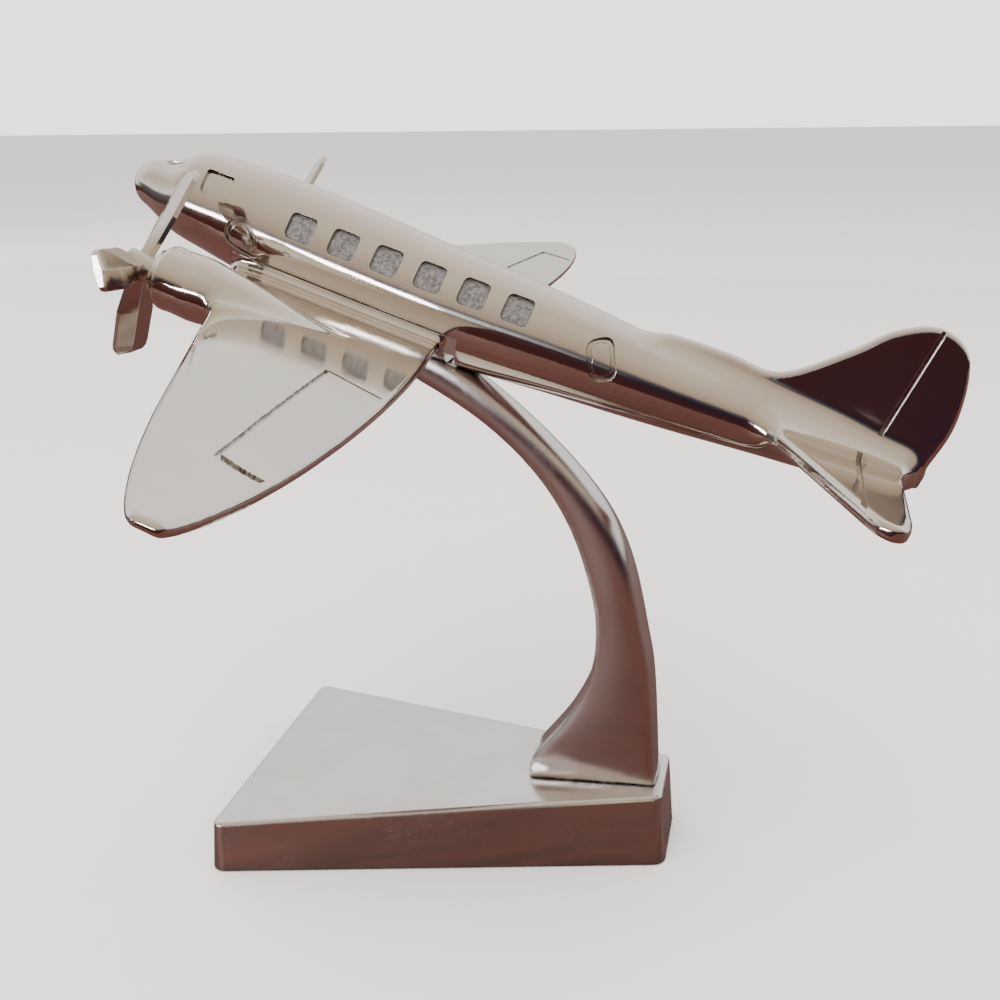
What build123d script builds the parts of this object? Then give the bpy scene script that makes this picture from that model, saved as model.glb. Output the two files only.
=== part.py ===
from build123d import *

import os
from math import cos, radians, sin, sqrt

# Desktop model of a twin-engine propeller airliner on a curved stand.
# Millimetres, +X forward (the nose), +Y to port, +Z up, origin in the middle of the stand's underside.

# ---- driving dimensions -------------------------------------------------------------------------

NOSE_UP = 19.54          # attitude of the aircraft on its stand, degrees
AXIS_HEIGHT = 151.06     # height of the fuselage axis over the origin
NOSE_AHEAD = 89.4        # from that point forward along the axis to the nose tip
FIT = 0.15               # gap left between castings that bolt together
ACROSS = 40.0            # width of a cutter that spans the whole fuselage
REACH = 20.0             # depth of a cutter that runs out of the casting

# base: a wedge slab, wide and thin in front, narrow and thick behind
BASE_LENGTH = 120.0
BASE_FRONT_WIDTH = 82.3
BASE_REAR_WIDTH = 22.0
BASE_FRONT_HEIGHT = 14.4
BASE_REAR_HEIGHT = 20.7
BASE_EDGE = 1.2
BASE_CORNER = 2.4
BASE_DRAFT = 1.4         # the sides lean out by this towards the bottom
PAD_THICKNESS = 1.0      # rubber sheet let into the underside
PAD_PROUD = 0.4          # it stands this far out of its recess
PAD_MARGIN = 3.0
PAD_CLEARANCE = 0.1

# stand arm
ARM_HALF_WIDTH = 6.1
ARM_FOOT_FRONT = -22.3
ARM_FOOT_REAR = -57.0
ARM_EDGE = 0.5           # bevel between the arm's face and its sides
ARM_FULLNESS = 0.3       # how far the sides swell
FOOT_SINK = 4.0          # the plinth starts this far below the base's top, then is cut to it
FOOT_CORNER = 1.2
TRIM_REACH = 72.0        # half length, width and depth of the block that cuts the foot to the base
TRIM_WIDTH = 120.0
TRIM_DEPTH = 5.0
ARM_TRIM_FROM = 40.0     # behind the nose, where the arm's head is cut to the belly
ARM_TRIM_HEIGHT = 30.0
ARM_SEAT_GAP = 0.05

# fuselage
RECESS = 0.75            # depth of the windows
WINDOW_PITCH = 11.47
WINDOW_COUNT = 6
FIRST_WINDOW = 51.4      # behind the nose
WINDOW_HEIGHT = 8.3      # over the axis
WINDOW_SIZE = (7.0, 6.2)
WINDOW_CORNER = 1.4
SIDE_REACH = 30.0        # the window cutters run out of the fuselage on both sides
SEAT_FRONT = 35.0        # notch under the fuselage that takes the wing casting
SEAT_REAR = 97.2
SEAT_LEVEL = -3.3
BELLY_LEVEL = -12.5      # flat under the belly where the arm bolts on

HEAD_SCREWS = (74.0, 86.0)   # screws that hold arm, wing casting and fuselage together
HEAD_SCREW_RADIUS = 1.5
HEAD_SCREW_BITE = 7.0
SCREW_CLEARANCE = 0.08
SCREW_PASSAGE = 0.2      # extra radius of the holes that a screw passes through
SCREW_END_GAP = 0.6      # between the end of an upper screw and the bottom of its hole

# wing and engines
WING_ROOT_FRONT = 37.5   # leading edge beside the fuselage
WING_SWEEP = 0.35        # aft per millimetre outboard
WING_REAR = 99.8
WING_ROOT_CUT = 10.0     # the trailing edge runs forward by this towards the middle
WING_TIP_REACH = 5.0     # the rounded tip moves in by these, in front and behind
WING_TIP_TUCK = 6.0
WING_TIP_DROP = 0.3
WING_TIP_THINNING = 0.55
WING_BRIM = 0.25         # the trailing edge lies this far below the flat top
WING_ROUND_FROM = 108.0  # the planform rounds off from here to the tip
WING_TOP = -6.1
WING_RISE = 0.033
WING_ROOT_THICK = 7.6
WING_THINNING = 0.025
WING_EDGE = 1.25         # half thickness of the rounded trailing edge
SADDLE_REAR = 94.6
SADDLE_DEPTH = 14.0
AILERON_REACH = 8.0
HINGE_LINE = [(97.9, 70.6), (84.4, 66.6), (89.4, 126.6)]
AILERON_END = [(89.2, 126.2), (98.6, 128.2), (98.4, 130.4), (89.4, 127.0), (89.2, 126.2)]
ENGINE_TAIL = 76.0
# engine and its fairing as a body of revolution: distance behind the nose, radius
ENGINE_LINES = [(31.0, 6.0), (32.0, 7.0), (35.0, 7.6), (41.0, 7.7), (48.0, 6.95), (57.0, 5.5), (66.0, 3.1),
                (75.8, 0.3)]
BOSS_RADIUS = 2.6
BOSS_LENGTH = 6.0
PIN_BITE = 7.0
WASHER_STACK = 1.05      # washer between hub and engine, with its clearances
WING_STATIONS = (6, 30, 55, 80, 108, 124, 136, 145, 150.6, 153.8, 155.0)
WING_TIP = 155.2         # half span
ENGINE_OUT = 40.0        # engine axis from the middle
ENGINE_LEVEL = -6.9
ENGINE_FRONT = 31.0      # front face behind the nose

# propellers
PROP_STATION = 26.3      # hub centre behind the nose
# set of each propeller, port then starboard: thrust line tilted up and toed out, first blade's turn
# from straight up towards starboard, degrees
THRUST_UP = {1: 5.0, -1: 0.0}
THRUST_OUT = {1: 8.0, -1: 0.0}
BLADE_TURN = {1: 39.6, -1: 42.0}
# blade sections: distance from the hub centre, chord, thickness, pitch angle
BLADE_SECTIONS = [(1.0, 4.6, 3.8, 42), (6.0, 6.4, 3.4, 38), (13.0, 9.0, 3.0, 34), (23.6, 9.0, 2.7, 32),
                  (25.4, 8.4, 2.4, 32), (26.4, 6.8, 1.9, 32)]
BLADE_EDGE = 0.6         # half thickness of the blade rims
HUB_RADIUS = 3.2
HUB_LENGTH = 6.4
PIN_RADIUS = 1.1
PIN_CLEARANCE = 0.05
END_PLAY = 0.2
PIN_HEAD_RADIUS = 1.65
PIN_HEAD_LENGTH = 4.0
PIN_HEAD_ROUND = 0.5
PIN_NECK = 1.0           # the shank starts this far inside the head
PIN_END_GAP = 0.5        # between the end of the pin and the bottom of its bore
WASHER_RADIUS = 2.5
WASHER_THICKNESS = 0.8

# screws
BASE_SCREWS = [(-31.0, 0.0), (-47.0, 0.0)]
BASE_SCREW_RADIUS = 2.0
BASE_SCREW_HEAD = 3.5
BASE_HEAD_HEIGHT = 3.0
BASE_SOCKET_DEPTH = 1.8
BASE_SCREW_TOP = 28.0
BASE_HOLE_SINK = 5.0     # the arm's holes start this far below the base's top
BASE_HOLE_GAP = 1.0      # between the end of a screw and the bottom of its hole
COUNTERBORE_RADIUS = 4.8
COUNTERBORE_TOP = 8.0
HEAD_SEAT = -15.2        # spot face in the arm under the heads of the upper screws
HEAD_SCREW_HEAD = 2.75
HEAD_HEAD_HEIGHT = 1.8
HEAD_SOCKET_DEPTH = 1.1
HEAD_WASHER_RADIUS = 3.2
HEAD_HOLE_REACH = 12.0
WASHER_GAP = 0.3         # between a washer's rim and its recess
WASHER_BORE_GAP = 0.1

# arm sections from the foot up: inner edge x and z, outer edge x and z, half width, crown of the back
ARM_SECTIONS = [
    (-22.2, 16.0, -56.9, 18.0, 6.1, 1.2),
    (-22.7, 25.2, -56.4, 27.0, 6.1, 1.2),
    (-26.8, 31.0, -56.0, 34.5, 6.1, 1.2),
    (-32.0, 38.2, -55.5, 42.0, 6.1, 1.3),
    (-36.2, 46.0, -54.9, 49.5, 6.0, 1.4),
    (-39.2, 54.6, -54.0, 57.0, 6.0, 1.5),
    (-40.2, 64.5, -52.5, 64.5, 6.0, 1.6),
    (-38.6, 77.3, -49.4, 78.9, 6.0, 1.7),
    (-33.5, 93.3, -42.6, 96.9, 5.9, 1.7),
    (-23.4, 109.5, -28.6, 114.4, 5.8, 1.6),
    (-8.8, 122.9, -12.9, 128.6, 5.7, 1.5),
    (3.0, 130.3, -0.9, 137.0, 5.5, 1.2),
    (12.2, 135.4, 10.3, 141.8, 5.3, 0.8),
    (22.4, 140.8, 21.4, 146.0, 5.0, 0.5),
]
PLINTH = 1.3

# ---- aircraft frame -----------------------------------------------------------------------------

FORWARD = Vector(cos(radians(NOSE_UP)), 0, sin(radians(NOSE_UP)))
UPWARD = Vector(-sin(radians(NOSE_UP)), 0, cos(radians(NOSE_UP)))
PORT = Vector(0, 1, 0)
NOSE = Vector(0, 0, AXIS_HEIGHT) + FORWARD * NOSE_AHEAD


def place(aft, port, high):
    """World point at a distance behind the nose, to port, and over the fuselage axis."""
    return NOSE - FORWARD * aft + PORT * port + UPWARD * high


def across(aft, high=0.0, port=0.0):
    """Plane square to the fuselage: x to port, y up, normal forward."""
    return Plane(origin=place(aft, port, high), x_dir=PORT, z_dir=FORWARD)


def along(port, high=0.0):
    """Upright plane in line with the fuselage: x aft, y up, normal to port."""
    return Plane(origin=place(0, port, high), x_dir=-FORWARD, z_dir=PORT)


def level(high):
    """Plane in line with the fuselage and the wings: x aft, y to port, normal down."""
    return Plane(origin=place(0, 0, high), x_dir=-FORWARD, z_dir=-UPWARD)


# ---- fuselage -----------------------------------------------------------------------------------

# station behind the nose, top line, bottom line, half width
FUSELAGE_LINES = [
    (0.5, 5.2, 0.4, 2.4),
    (2.0, 7.0, -2.0, 4.6),
    (5.0, 8.7, -3.6, 6.6),
    (9.5, 10.2, -5.4, 8.7),
    (13.5, 12.4, -7.2, 10.3),
    (17.0, 14.6, -8.1, 11.5),
    (22.0, 15.6, -8.8, 12.7),
    (30.0, 16.3, -10.0, 13.7),
    (45.0, 16.6, -11.8, 14.4),
    (62.0, 16.2, -13.0, 14.6),
    (84.0, 15.2, -13.4, 14.3),
    (102.0, 14.6, -12.8, 13.7),
    (120.0, 13.7, -11.2, 12.5),
    (140.0, 12.1, -9.7, 10.9),
    (160.0, 10.4, -7.9, 9.2),
    (180.0, 8.8, -5.9, 7.4),
    (196.0, 7.6, -4.2, 5.9),
    (206.0, 6.6, -2.6, 4.4),
    (211.0, 5.6, -1.0, 2.8),
]
TIP_RADIUS = 0.4
NOSE_TIP_HIGH = 2.8
TAIL_TIP = 213.2
TAIL_TIP_HIGH = 2.4

# rim of the dorsal ridge, fin and rudder: distance behind the nose, height over the axis
FIN_RIM = [
    (141.5, 11.2), (146.5, 13.9), (160.0, 14.8), (173.0, 15.0), (185.7, 25.4),
    (194.0, 34.0), (203.5, 38.1), (211.9, 33.6), (215.8, 18.0), (213.4, 1.0),
]
FIN_THICKNESS = 3.0
TAIL_TOP = 3.9
GROOVE = 0.9             # width of the scribed lines
HINGE_DEPTH = 0.45
RUDDER_LINE = [(204.1, 39.5), (200.2, 6.0)]
ELEVATOR_LINE = [(197.6, 6.5), (198.0, 44.6)]
HINGE_REACH = 3.0
COCKPIT_WINDOW = [(22.4, 13.0), (30.4, 13.2), (31.0, 7.4), (23.0, 7.6)]
COCKPIT_CORNER = 0.8
WINDSCREEN = [(1.0, 9.6), (6.2, 8.6), (8.4, 11.6), (1.0, 14.0)]
WINDSCREEN_CORNER = 0.7
WINDSCREEN_REACH = 21.0
HATCH_CORNER = 1.8
HATCH = [(32.6, 3.4), (36.6, 6.6), (41.0, 3.0), (42.9, -2.9), (37.4, -2.6), (32.8, -1.2)]
DOOR_STATION = 132.0
DOOR_HEIGHT = 4.4
DOOR_LEAN = 27.0
DOOR_WIDTH = 6.7
DOOR_LENGTH = 10.2
DOOR_CORNER = 2.75
DOOR_INNER_CORNER = 1.75
TAIL_THICKNESS = 3.8
RIM_ROUND = 1.2


def fuselage_skin(inset):
    """The bare fuselage, with its surface set in by a little."""
    with BuildPart() as skin:
        with BuildSketch(across(inset, NOSE_TIP_HIGH)):
            Circle(TIP_RADIUS)
        for aft, top, bottom, half in FUSELAGE_LINES[int(inset > 0):]:
            with BuildSketch(across(aft, (top + bottom) / 2)):
                Ellipse(half - inset, (top - bottom) / 2 - inset)
        with BuildSketch(across(TAIL_TIP - inset, TAIL_TIP_HIGH)):
            Circle(TIP_RADIUS)
        loft()
    return skin.part


def fin_blade():
    """Dorsal ridge, fin and rudder as one upright plate with rounded rims."""
    with BuildPart() as fin:
        with BuildSketch(along(0)):
            with BuildLine():
                rim = Spline(*FIN_RIM)
                Polyline(rim @ 1, (208, 1), (150, 2), rim @ 0)
            make_face()
        extrude(amount=FIN_THICKNESS / 2, both=True)
        rims = fin.faces().filter_by(Axis.Y).edges().filter_by(GeomType.BSPLINE)
        fillet(rims, RIM_ROUND)
    return fin.part


def tail_blade():
    """Tailplane and elevators as one level plate with rounded rims."""
    with BuildPart() as tail:
        with BuildSketch(level(TAIL_TOP)):
            with BuildLine():
                leading = Polyline((188, 0), (174.6, 0), (174.6, 6.2), (198.4, 44.4))
                tip = Spline(leading @ 1, (203.8, 48.4), (208.4, 41),
                             tangents=(leading % 1, (0.06, -1)))
                Polyline(tip @ 1, (208.9, 0), (188, 0))
            make_face()
            mirror(about=Plane.XZ)
        extrude(amount=TAIL_THICKNESS)
        flats = tail.faces().filter_by(lambda face: abs(face.normal_at().dot(UPWARD)) > 0.99)
        fillet(flats.edges(), RIM_ROUND)
    return tail.part


# ---- surface details of the fuselage ------------------------------------------------------------

def side_recesses():
    """Prisms straight through the fuselage: cabin windows, cockpit side windows and hatches."""
    with BuildPart() as prisms:
        with BuildSketch(along(0)):
            row_middle = FIRST_WINDOW + WINDOW_PITCH * (WINDOW_COUNT - 1) / 2
            with Locations((row_middle, WINDOW_HEIGHT)):
                with GridLocations(WINDOW_PITCH, 0, WINDOW_COUNT, 1):
                    RectangleRounded(*WINDOW_SIZE, WINDOW_CORNER)
            with BuildLine():
                FilletPolyline(*COCKPIT_WINDOW, radius=COCKPIT_CORNER, close=True)
            make_face()
            with BuildLine():
                FilletPolyline(*HATCH, radius=HATCH_CORNER, close=True)
            make_face()
        extrude(amount=SIDE_REACH, both=True)
    return prisms.part


def windscreen_prisms():
    """Two panes on the nose, set back to back, cut from ahead."""
    with BuildPart() as panes:
        with BuildSketch(across(0)):
            with BuildLine():
                FilletPolyline(*WINDSCREEN, radius=WINDSCREEN_CORNER, close=True)
            make_face()
            mirror(about=Plane.YZ)
        extrude(amount=-WINDSCREEN_REACH)
    return panes.part


def door_ring():
    """Engraved outline of the passenger door on the port side."""
    with BuildPart() as ring:
        with BuildSketch(along(0)):
            with Locations(Location((DOOR_STATION, DOOR_HEIGHT), DOOR_LEAN)):
                RectangleRounded(DOOR_WIDTH, DOOR_LENGTH, DOOR_CORNER)
                RectangleRounded(DOOR_WIDTH - 2 * GROOVE, DOOR_LENGTH - 2 * GROOVE, DOOR_INNER_CORNER,
                                 mode=Mode.SUBTRACT)
        extrude(amount=REACH)
    return ring.part


def hinge_grooves():
    """Scribed lines of the rudder and elevators."""
    with BuildPart() as lines:
        for side in (-1, 1):
            with BuildSketch(along(side * (FIN_THICKNESS / 2 - HINGE_DEPTH))):
                with BuildLine():
                    Line(*RUDDER_LINE)
                trace(line_width=GROOVE)
            extrude(amount=side * HINGE_REACH)
        with BuildSketch(level(TAIL_TOP - HINGE_DEPTH)):
            with BuildLine():
                Line(*ELEVATOR_LINE)
            trace(line_width=GROOVE)
            mirror(about=Plane.XZ)
        extrude(amount=-HINGE_REACH)
    return lines.part


outer_skin = fuselage_skin(0.0)
inner_skin = fuselage_skin(RECESS)
fuselage_clearance = fuselage_skin(-FIT)

with BuildPart() as recesses:
    add(side_recesses())
    add(windscreen_prisms())
    add(inner_skin, mode=Mode.SUBTRACT)

with BuildPart() as door_cut:
    add(door_ring())
    add(inner_skin, mode=Mode.SUBTRACT)

# the notch under the belly, open downwards, that seats the wing casting
with BuildPart() as seat:
    with BuildSketch(level(SEAT_LEVEL)):
        with Locations(((SEAT_FRONT + SEAT_REAR) / 2, 0)):
            Rectangle(SEAT_REAR - SEAT_FRONT, ACROSS)
    extrude(amount=REACH)

with BuildPart() as fuselage:
    add(outer_skin)
    add(fin_blade())
    add(tail_blade())
    add(seat.part, mode=Mode.SUBTRACT)
    add(recesses.part, mode=Mode.SUBTRACT)
    add(door_cut.part, mode=Mode.SUBTRACT)
    add(hinge_grooves(), mode=Mode.SUBTRACT)
    with Locations([Plane(origin=place(aft, 0, SEAT_LEVEL), x_dir=FORWARD, z_dir=UPWARD).location
                    for aft in HEAD_SCREWS]):
        Cylinder(HEAD_SCREW_RADIUS + SCREW_CLEARANCE, 2 * HEAD_SCREW_BITE, mode=Mode.SUBTRACT)


# ---- wing casting -------------------------------------------------------------------------------

def wing_section(port):
    """Aerofoil outline of the cast wing at a distance to port."""
    beyond = max(port - WING_ROUND_FROM, 0) / (WING_TIP - WING_ROUND_FROM)
    round_off = 1 - sqrt(max(1 - beyond ** 2, 0))
    front = WING_ROOT_FRONT + WING_SWEEP * (port - 16) + WING_TIP_REACH * round_off
    rear = WING_REAR - WING_ROOT_CUT * max(1 - port / WING_ROUND_FROM, 0) ** 2 - WING_TIP_TUCK * round_off
    top = WING_TOP + WING_RISE * port - WING_TIP_DROP * round_off
    thick = (WING_ROOT_THICK - WING_THINNING * port) * (1 - WING_TIP_THINNING * round_off)
    chord = rear - front
    middle = top - 0.5 * thick
    edge = min(WING_EDGE, 0.4 * thick)
    brim = top - WING_BRIM
    with BuildSketch(along(port)) as section:
        with BuildLine():
            upper = Spline((front, middle), (front + 0.32 * chord, top), (rear, brim),
                           tangents=((0.0, 1), (1, -0.03)), tangent_scalars=(0.9, 1))
            lower = Spline((front, middle), (front + 0.3 * chord, top - thick), (rear, brim - 2 * edge),
                           tangents=((0.0, -1), (1, 0.03)), tangent_scalars=(0.9, 1))
            ThreePointArc(upper @ 1, (rear + edge * 0.8, brim - edge), lower @ 1)
        make_face()
    return section.sketch


with BuildPart() as half_wing:
    for port in WING_STATIONS:
        add(wing_section(port))
    loft()

# what the fuselage takes up, outside its notch
with BuildPart() as fuselage_space:
    add(fuselage_clearance)
    with BuildSketch(level(SEAT_LEVEL - FIT)):
        with Locations((SEAT_FRONT + FIT, 0)):
            Rectangle(SADDLE_REAR - SEAT_FRONT - FIT, ACROSS, align=(Align.MIN, Align.CENTER))
    extrude(amount=REACH, mode=Mode.SUBTRACT)

# middle of the casting: fills the notch and carries on the fuselage's own belly lines
with BuildPart() as saddle:
    with BuildSketch(level(SEAT_LEVEL - FIT)):
        with Locations(((SEAT_FRONT + FIT + SADDLE_REAR) / 2, 0)):
            Rectangle(SADDLE_REAR - SEAT_FRONT - FIT, ACROSS)
    extrude(amount=SADDLE_DEPTH)
    add(outer_skin, mode=Mode.INTERSECT)

with BuildPart() as engine:
    with BuildSketch(along(ENGINE_OUT, ENGINE_LEVEL)):
        with BuildLine():
            cowl = Spline(*ENGINE_LINES)
            Polyline(cowl @ 1, (ENGINE_TAIL, 0), (ENGINE_FRONT, 0), cowl @ 0)
        make_face()
    revolve(axis=Axis(place(0, ENGINE_OUT, ENGINE_LEVEL), FORWARD))


def thrust_plane(side, ahead=0.0):
    """Plane of a propeller disc: x to port, y up, normal along the thrust line."""
    out = radians(THRUST_OUT[side]) * side
    raised = radians(THRUST_UP[side])
    thrust = (FORWARD * cos(out) + PORT * sin(out)) * cos(raised) + UPWARD * sin(raised)
    hub = place(PROP_STATION, side * ENGINE_OUT, ENGINE_LEVEL)
    return Plane(origin=hub + thrust * ahead, x_dir=PORT - thrust * thrust.dot(PORT), z_dir=thrust)


def control_grooves():
    """Scribed outline of the port aileron, hinge line and both end cuts."""
    with BuildPart() as cuts:
        with BuildSketch(level(AILERON_REACH)):
            with BuildLine():
                Polyline(*HINGE_LINE)
            trace(line_width=GROOVE)
            with BuildLine():
                Polyline(*AILERON_END)
            make_face()
        extrude(amount=2 * AILERON_REACH)
        add(half_wing.part.moved(Location(UPWARD * -HINGE_DEPTH)), mode=Mode.SUBTRACT)
    return cuts.part


aileron_cut = control_grooves()

with BuildPart() as wing_casting:
    add(half_wing.part)
    add(engine.part)
    add(aileron_cut, mode=Mode.SUBTRACT)
    mirror(about=Plane.XZ)
    for side in (1, -1):
        with BuildSketch(thrust_plane(side, -HUB_LENGTH / 2 - WASHER_STACK)):
            Circle(BOSS_RADIUS)
        extrude(amount=-BOSS_LENGTH)
        with BuildSketch(thrust_plane(side, -HUB_LENGTH / 2 - WASHER_STACK)):
            Circle(PIN_RADIUS + SCREW_CLEARANCE / 2)
        extrude(amount=-PIN_BITE, mode=Mode.SUBTRACT)
    add(fuselage_space.part, mode=Mode.SUBTRACT)
    add(saddle.part)
    with BuildSketch(level(BELLY_LEVEL)):
        with Locations((SEAT_FRONT, 0)):
            Rectangle(SADDLE_REAR, 2 * ARM_HALF_WIDTH, align=(Align.MIN, Align.CENTER))
    extrude(amount=REACH, mode=Mode.SUBTRACT)
    with Locations([Plane(origin=place(aft, 0, SEAT_LEVEL), x_dir=FORWARD, z_dir=UPWARD).location
                    for aft in HEAD_SCREWS]):
        Cylinder(HEAD_SCREW_RADIUS + SCREW_PASSAGE, ACROSS, mode=Mode.SUBTRACT)


# ---- propellers with their pins and washers -------------------------------------------------------

def blade_section(side, turn, radius, chord, thick, pitch):
    """Section of one blade, ridged on both faces, its chord set at the pitch angle."""
    disc = thrust_plane(side)
    spanwise = disc.y_dir * cos(radians(turn)) - disc.x_dir * sin(radians(turn))
    trailing = disc.x_dir * -cos(radians(turn)) - disc.y_dir * sin(radians(turn))
    chordwise = trailing * cos(radians(pitch)) + disc.z_dir * sin(radians(pitch))
    with BuildSketch(Plane(origin=disc.origin + spanwise * radius, x_dir=chordwise, z_dir=spanwise)) as section:
        with BuildLine():
            Polyline((-chord / 2, -BLADE_EDGE), (0, -thick / 2), (chord / 2, -BLADE_EDGE),
                     (chord / 2, BLADE_EDGE), (0, thick / 2), (-chord / 2, BLADE_EDGE), close=True)
        make_face()
    return section.sketch


def propeller(side):
    """Cast three-blade propeller, bored for its pin."""
    with BuildPart() as prop:
        for blade in range(3):
            for radius, chord, thick, pitch in BLADE_SECTIONS:
                add(blade_section(side, BLADE_TURN[side] + 120 * blade, radius, chord, thick, pitch))
            loft(ruled=True)
        with BuildSketch(thrust_plane(side, -HUB_LENGTH / 2)):
            Circle(HUB_RADIUS)
        extrude(amount=HUB_LENGTH)
        with BuildSketch(thrust_plane(side, -HUB_LENGTH)):
            Circle(PIN_RADIUS + PIN_CLEARANCE)
        extrude(amount=2 * HUB_LENGTH, mode=Mode.SUBTRACT)
    return prop.part


def propeller_pin(side):
    """Headed pin pressed into the engine; the propeller spins on it."""
    with BuildPart() as pin:
        with BuildSketch(thrust_plane(side, HUB_LENGTH / 2 + END_PLAY)):
            Circle(PIN_HEAD_RADIUS)
        extrude(amount=PIN_HEAD_LENGTH)
        fillet(pin.edges().filter_by(GeomType.CIRCLE), PIN_HEAD_ROUND)
        with BuildSketch(thrust_plane(side, HUB_LENGTH / 2 + PIN_NECK)):
            Circle(PIN_RADIUS)
        extrude(amount=-(PIN_NECK + HUB_LENGTH + WASHER_STACK + PIN_BITE - PIN_END_GAP))
    return pin.part


def propeller_washer(side):
    """Plain washer between hub and engine."""
    with BuildPart() as washer:
        with BuildSketch(thrust_plane(side, -HUB_LENGTH / 2 - END_PLAY)):
            Circle(WASHER_RADIUS)
            Circle(PIN_RADIUS + PIN_CLEARANCE, mode=Mode.SUBTRACT)
        extrude(amount=-WASHER_THICKNESS)
    return washer.part


# ---- stand ----------------------------------------------------------------------------------------

def arm_section(inner_x, inner_z, outer_x, outer_z, half, crown):
    """Section across the arm: flat inside, slightly full sides, crowned back."""
    inner = Vector(inner_x, 0, inner_z)
    outer = Vector(outer_x, 0, outer_z)
    depth = (outer - inner).length
    deepwise = (outer - inner).normalized()
    with BuildSketch(Plane(origin=(inner + outer) / 2, x_dir=PORT, z_dir=PORT.cross(deepwise))) as section:
        with BuildLine():
            face = Line((-half + ARM_EDGE, -depth / 2), (half - ARM_EDGE, -depth / 2))
            near = ThreePointArc(face @ 1, (half + ARM_FULLNESS, -0.1 * depth), (half, depth / 2))
            back = ThreePointArc(near @ 1, (0, depth / 2 + crown), (-half, depth / 2))
            ThreePointArc(back @ 1, (-half - ARM_FULLNESS, -0.1 * depth), face @ 0)
        make_face()
    return section.sketch


def base_top(x):
    """Height of the base's sloping top."""
    return PAD_PROUD + BASE_FRONT_HEIGHT + (BASE_REAR_HEIGHT - BASE_FRONT_HEIGHT) * (0.5 - x / BASE_LENGTH)


def base_outline(grow, corner):
    """Outline of the base, grown or set in by a little, with rounded corners."""
    front = BASE_FRONT_WIDTH / 2 + grow
    rear = BASE_REAR_WIDTH / 2 + grow
    reach = BASE_LENGTH / 2 + grow
    with BuildSketch() as outline:
        with BuildLine():
            FilletPolyline((reach, front), (-reach, rear), (-reach, -rear), (reach, -front),
                           radius=corner, close=True)
        make_face()
    return outline.sketch


with BuildPart() as stand_base:
    with BuildSketch(Plane.XY.offset(PAD_PROUD)):
        add(base_outline(BASE_DRAFT, BASE_CORNER + BASE_DRAFT))
    base_slope = Plane(origin=(0, 0, base_top(0)), x_dir=(BASE_LENGTH, 0, BASE_FRONT_HEIGHT - BASE_REAR_HEIGHT),
                       z_dir=(BASE_REAR_HEIGHT - BASE_FRONT_HEIGHT, 0, BASE_LENGTH))
    with BuildSketch(base_slope):
        add(base_outline(0, BASE_CORNER))
    loft(ruled=True)
    fillet(stand_base.faces().sort_by(Axis.Z)[-1].edges(), BASE_EDGE)
    underside = Plane.XY.offset(PAD_PROUD)
    with BuildSketch(underside):
        add(base_outline(PAD_CLEARANCE - PAD_MARGIN, BASE_CORNER))
    extrude(amount=PAD_THICKNESS - PAD_PROUD, mode=Mode.SUBTRACT)
    with BuildSketch(underside):
        with Locations(*BASE_SCREWS):
            Circle(COUNTERBORE_RADIUS)
    extrude(amount=COUNTERBORE_TOP - PAD_PROUD, mode=Mode.SUBTRACT)
    with BuildSketch(underside):
        with Locations(*BASE_SCREWS):
            Circle(BASE_SCREW_RADIUS + SCREW_PASSAGE)
    extrude(amount=BASE_REAR_HEIGHT, mode=Mode.SUBTRACT)

# everything below the base's sloping top, which the arm's foot is cut to
with BuildPart() as foot_trim:
    for end in (TRIM_REACH, -TRIM_REACH):
        with BuildSketch(Plane(origin=(end, 0, -TRIM_DEPTH), x_dir=(0, 1, 0), z_dir=(1, 0, 0))):
            Rectangle(TRIM_WIDTH, base_top(end) + TRIM_DEPTH, align=(Align.CENTER, Align.MIN))
    loft(ruled=True)

with BuildPart() as stand_arm:
    for section in ARM_SECTIONS:
        add(arm_section(*section))
    loft()
    with BuildSketch(Plane.XY.offset(base_top(ARM_FOOT_REAR) - FOOT_SINK)):
        with Locations(((ARM_FOOT_FRONT + ARM_FOOT_REAR) / 2, 0)):
            RectangleRounded(ARM_FOOT_FRONT - ARM_FOOT_REAR + PLINTH, 2 * ARM_HALF_WIDTH + PLINTH, FOOT_CORNER)
    extrude(amount=FOOT_SINK + PLINTH)
    add(foot_trim.part, mode=Mode.SUBTRACT)
    with BuildSketch(level(BELLY_LEVEL - ARM_SEAT_GAP)):
        with Locations((ARM_TRIM_FROM, 0)):
            Rectangle(SADDLE_REAR - ARM_TRIM_FROM + FIT, ACROSS, align=(Align.MIN, Align.CENTER))
    extrude(amount=-ARM_TRIM_HEIGHT, mode=Mode.SUBTRACT)
    add(fuselage_clearance, mode=Mode.SUBTRACT)
    with BuildSketch(level(HEAD_SEAT)):
        with Locations(*[(aft, 0) for aft in HEAD_SCREWS]):
            Circle(HEAD_WASHER_RADIUS + WASHER_GAP)
    extrude(amount=HEAD_HOLE_REACH, mode=Mode.SUBTRACT)
    with BuildSketch(level(BELLY_LEVEL)):
        with Locations(*[(aft, 0) for aft in HEAD_SCREWS]):
            Circle(HEAD_SCREW_RADIUS + SCREW_PASSAGE)
    extrude(amount=HEAD_HOLE_REACH, mode=Mode.SUBTRACT)
    with BuildSketch(Plane.XY.offset(base_top(0) - BASE_HOLE_SINK)):
        with Locations(*BASE_SCREWS):
            Circle(BASE_SCREW_RADIUS + SCREW_CLEARANCE)
    extrude(amount=BASE_SCREW_TOP + BASE_HOLE_GAP - base_top(0) + BASE_HOLE_SINK, mode=Mode.SUBTRACT)

with BuildPart() as base_pad:
    with BuildSketch(Plane.XY):
        add(base_outline(-PAD_MARGIN, BASE_CORNER))
    extrude(amount=PAD_THICKNESS)


# ---- fasteners --------------------------------------------------------------------------------------

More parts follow.
